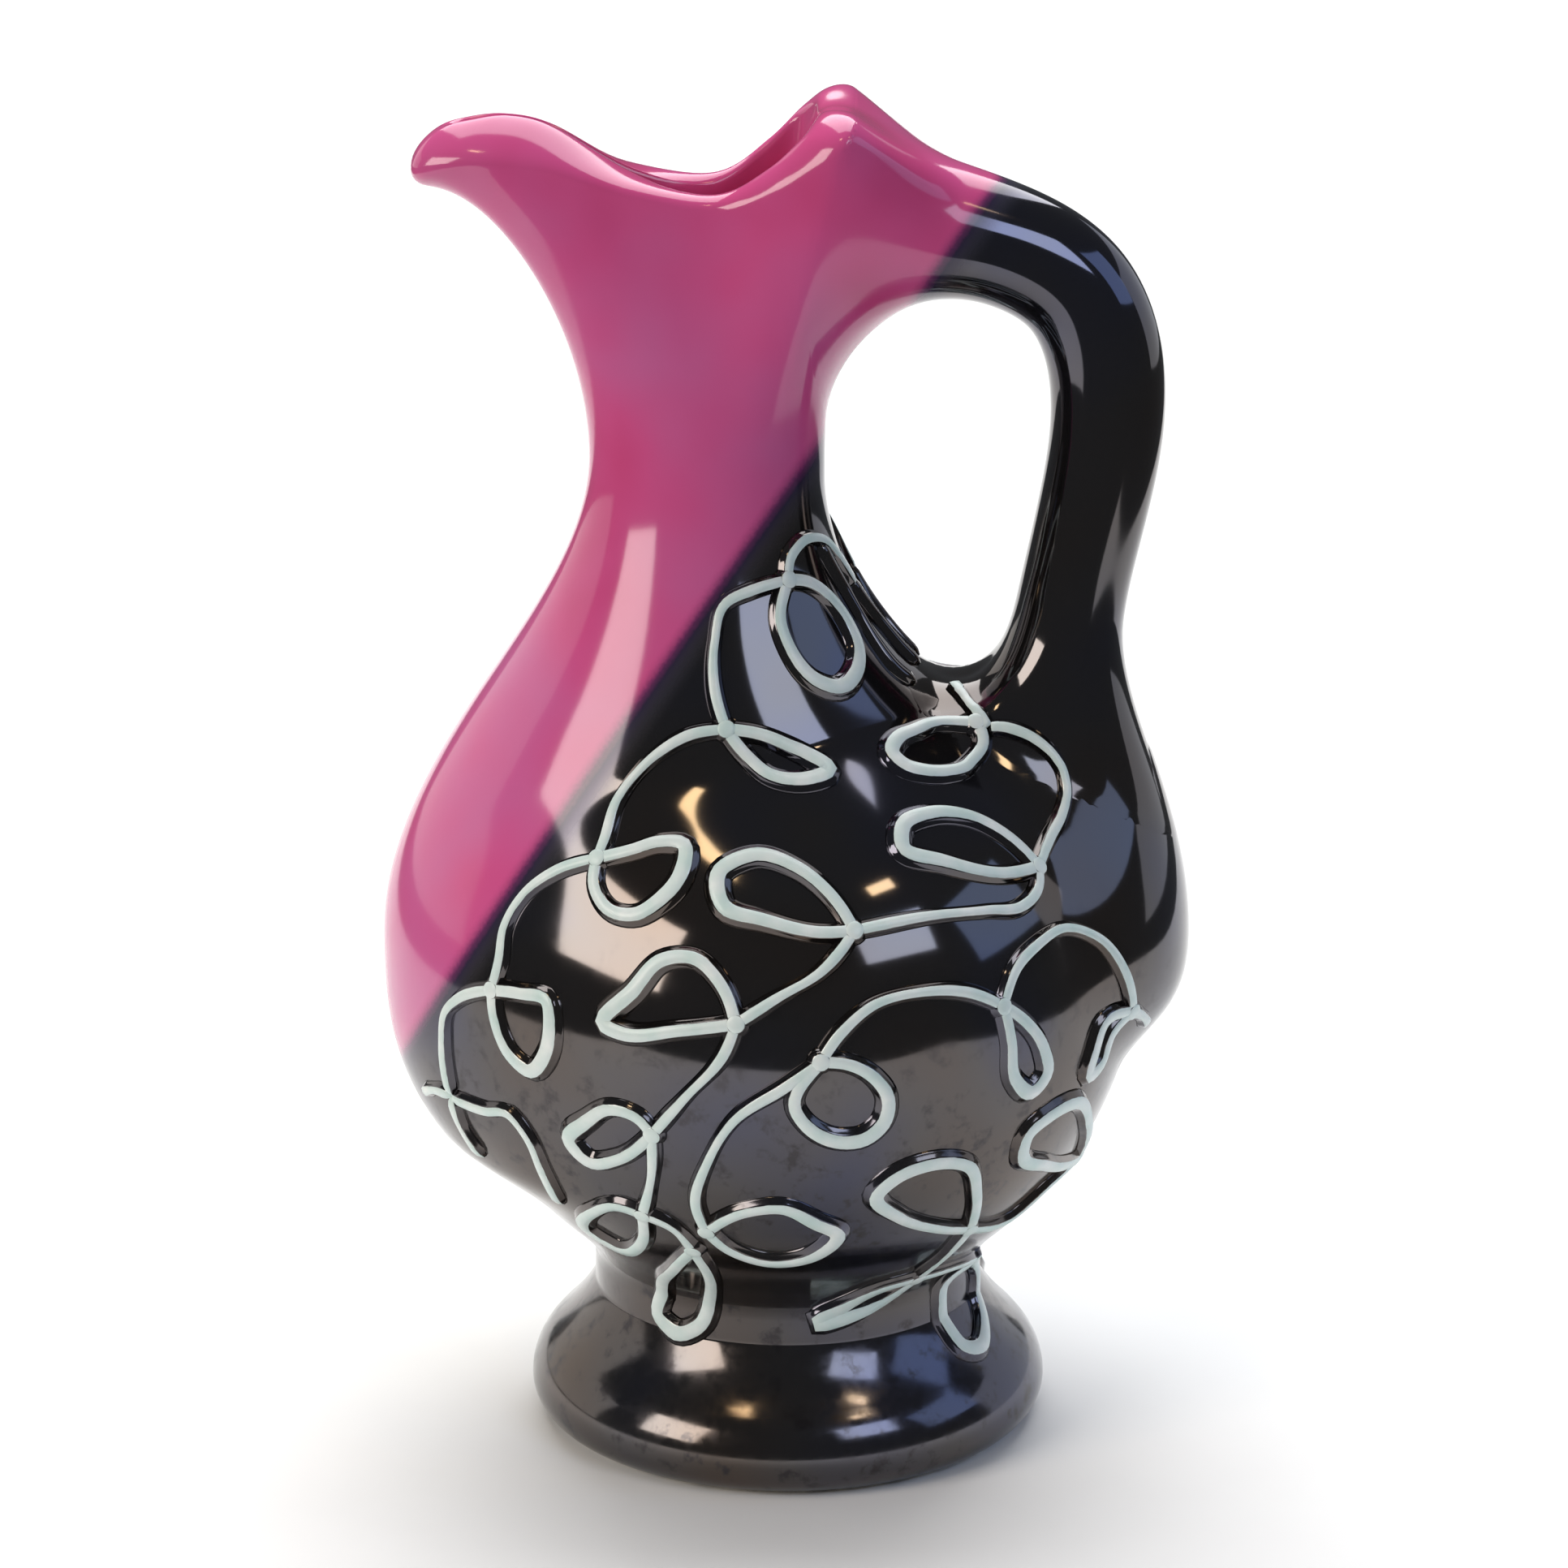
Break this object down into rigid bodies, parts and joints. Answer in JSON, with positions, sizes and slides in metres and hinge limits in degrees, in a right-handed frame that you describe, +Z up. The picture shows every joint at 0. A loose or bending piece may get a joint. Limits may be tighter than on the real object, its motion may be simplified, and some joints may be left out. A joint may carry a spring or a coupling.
{
  "type": "ewer carafe",
  "caption": "Glazed earthenware ewer for pouring, with a flared foot, a round belly, a beak spout, an arched handle and trailed vine relief.",
  "frame": {"origin": "under the middle of the foot, on the surface it stands on", "axes": "+Z up, +X towards the handle, -X towards the spout, -Y towards the viewer of the picture"},
  "size_m": [0.1606, 0.143, 0.2702],
  "materials": {
    "black_glaze": "gloss lustre",
    "pink_glaze": "gloss",
    "mint_slip": "satin"
  },
  "bodies": {
    "root": {"foot": "black_glaze", "belly": "black_glaze", "neck": "pink_glaze", "handle": "black_glaze", "neck_vine": "mint_slip", "belly_vine": "mint_slip", "front_vine": "mint_slip", "low_vine": "mint_slip", "neck_vine_back": "mint_slip", "belly_vine_back": "mint_slip", "front_vine_back": "mint_slip", "low_vine_back": "mint_slip"}
  },
  "joints": []
}
